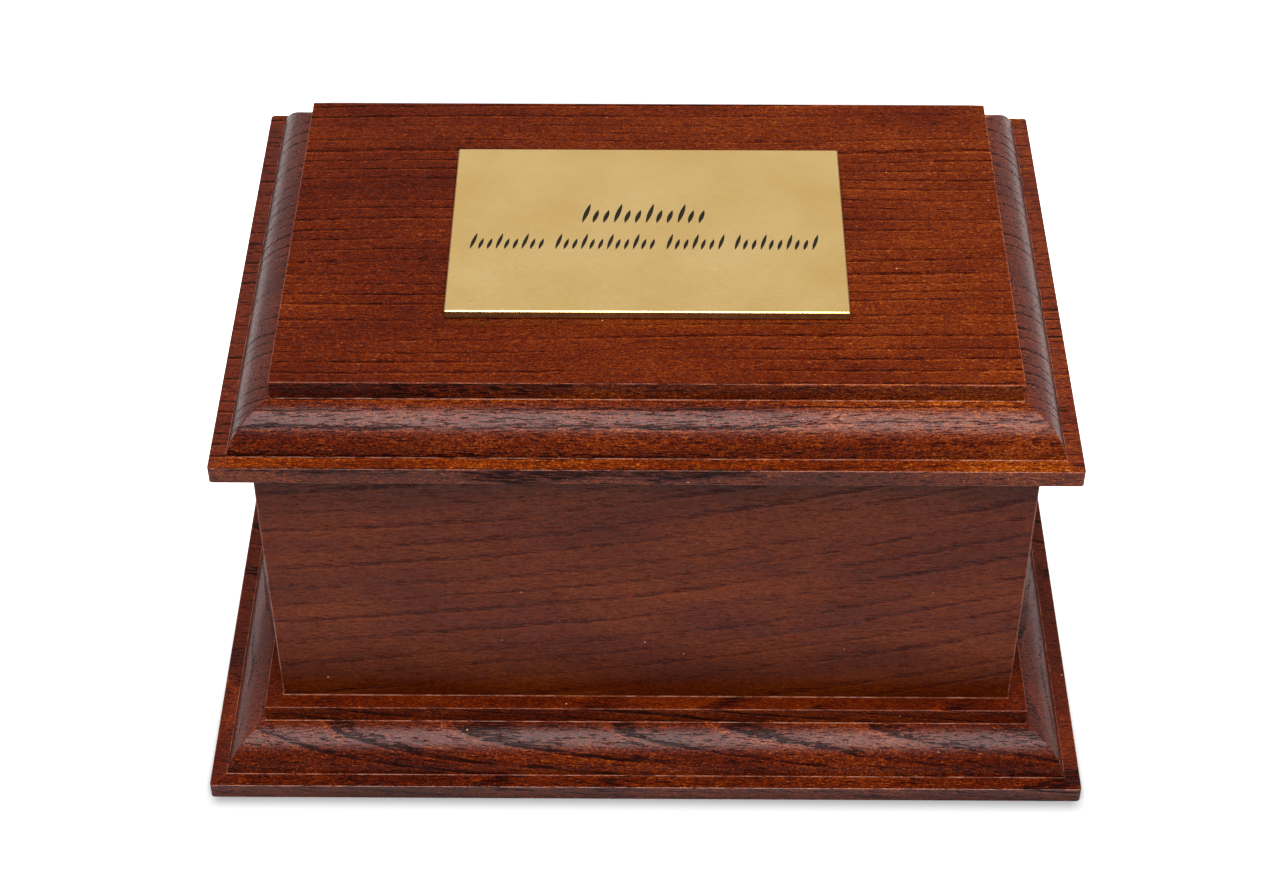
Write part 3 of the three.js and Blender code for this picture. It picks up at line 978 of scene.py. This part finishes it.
# Floor, light and surroundings, in metres
studio = {
    "floorSize": 14.0, "poolMiddle": 0.95, "poolInner": 1.25, "poolOuter": 1.55,
    "nearTone": 0.375, "farTone": 0.25, "floorRoughness": 0.9,
    "frontGlow": 0.04, "backGlow": 1.7, "glowFrom": -0.12, "glowTo": 0.15,
    "contactReach": 0.006, "contactUnder": 0.001, "contactShade": 0.42,
    "contactInside": 0.004, "contactOutside": 0.003,
    "keyDistance": 3.0, "keyElevation": 67.0, "keyReach": 21.0, "keyRadiance": 15.5,
    "front": 0.2, "back": 0.68, "backLimits": (-0.2, 0.5),
    "overhead": 0.1, "overheadLimits": (0.5, 1.0),
    "sides": 0.36, "sideLimits": (0.2, 0.6),
}
floorMesh = bpy.data.meshes.new("floor")
half = studio["floorSize"] / 2
floorCorners = [(-half, -half, 0), (half, -half, 0), (half, half, 0), (-half, half, 0)]
floorMesh.from_pydata(floorCorners, [], [(0, 1, 2, 3)])


# White round the casket, easing to grey further out, and glowing behind it: a painted pool of light, with
# a glow that keeps shadows faint
def floorMaterial():
    material, tree, surface = newMaterial("pale floor")
    place = addNode(tree, "ShaderNodeTexCoord").outputs["Object"]
    parts = addNode(tree, "ShaderNodeSeparateXYZ", {0: place}).outputs
    offset = vectorNode(tree, "SUBTRACT", place, (0, studio["poolMiddle"], 0))
    away = addNode(tree, "ShaderNodeVectorMath", {0: offset}, operation="LENGTH").outputs["Value"]

    # A thin contact shade in front of the base, which the glow would drown. It fades sideways past
    # the base's corners and forwards from its edge.
    sideways = mathNode(tree, "ABSOLUTE", parts[0])
    inside, outside = baseHigh.x - studio["contactInside"], baseHigh.x + studio["contactOutside"]
    shade = rampNode(tree, sideways, inside, outside, studio["contactShade"], 1.0)
    front, under = baseLow.y - studio["contactReach"], baseLow.y + studio["contactUnder"]
    contact = rampNode(tree, parts[1], front, under, 1.0, shade)

    inner, outer = studio["poolInner"], studio["poolOuter"]
    pool = rampNode(tree, away, inner, outer, contact, 0.0)
    glow = rampNode(
        tree, parts[1], studio["glowFrom"], studio["glowTo"], studio["frontGlow"], studio["backGlow"]
    )
    tone = rampNode(tree, away, inner, outer, studio["nearTone"], studio["farTone"])
    shader = addNode(
        tree, "ShaderNodeBsdfPrincipled",
        {"Base Color": mathNode(tree, "MULTIPLY", tone, contact), "Roughness": studio["floorRoughness"],
         "Specular IOR Level": 0.0, "Emission Color": (1, 1, 1, 1),
         "Emission Strength": mathNode(tree, "MULTIPLY", pool, glow)},
    )
    tree.links.new(shader.outputs[0], surface)
    return material


floorMesh.materials.append(floorMaterial())
link(bpy.data.objects.new("floor", floorMesh))

# One large softbox, high in front
keyData = bpy.data.lights.new("softbox", "AREA")
keyData.shape = "SQUARE"
keyData.size = 2 * studio["keyDistance"] * math.tan(math.radians(studio["keyReach"]))
keyData.energy = studio["keyRadiance"] * math.pi * keyData.size ** 2
key = link(bpy.data.objects.new("softbox", keyData))
keyAngle = math.radians(studio["keyElevation"])
keyRay = Vector((0, -math.cos(keyAngle), math.sin(keyAngle)))
key.location = keyRay * studio["keyDistance"]
key.rotation_euler = keyRay.to_track_quat("Z", "Y").to_euler()

# Surroundings: brighter behind and at the sides, dim overhead
world = bpy.data.worlds.new("studio")
world.use_nodes = True
sky = world.node_tree
skyRay = addNode(sky, "ShaderNodeTexCoord").outputs["Generated"]
skyParts = addNode(sky, "ShaderNodeSeparateXYZ", {0: skyRay}).outputs
skyBack = rampNode(sky, skyParts[1], *studio["backLimits"], studio["front"], studio["back"])
skyTone = rampNode(sky, skyParts[2], *studio["overheadLimits"], skyBack, studio["overhead"])
skyAside = mathNode(sky, "ABSOLUTE", skyParts[0])
skySide = rampNode(sky, skyAside, *studio["sideLimits"], 0.0, studio["sides"])
sky.links.new(mathNode(sky, "ADD", skyTone, skySide), sky.nodes["Background"].inputs[1])
sky.nodes["Background"].inputs[0].default_value = (1, 1, 1, 1)
bpy.context.scene.world = world
bpy.context.scene.view_settings.view_transform = "Standard"
print("studio ready")
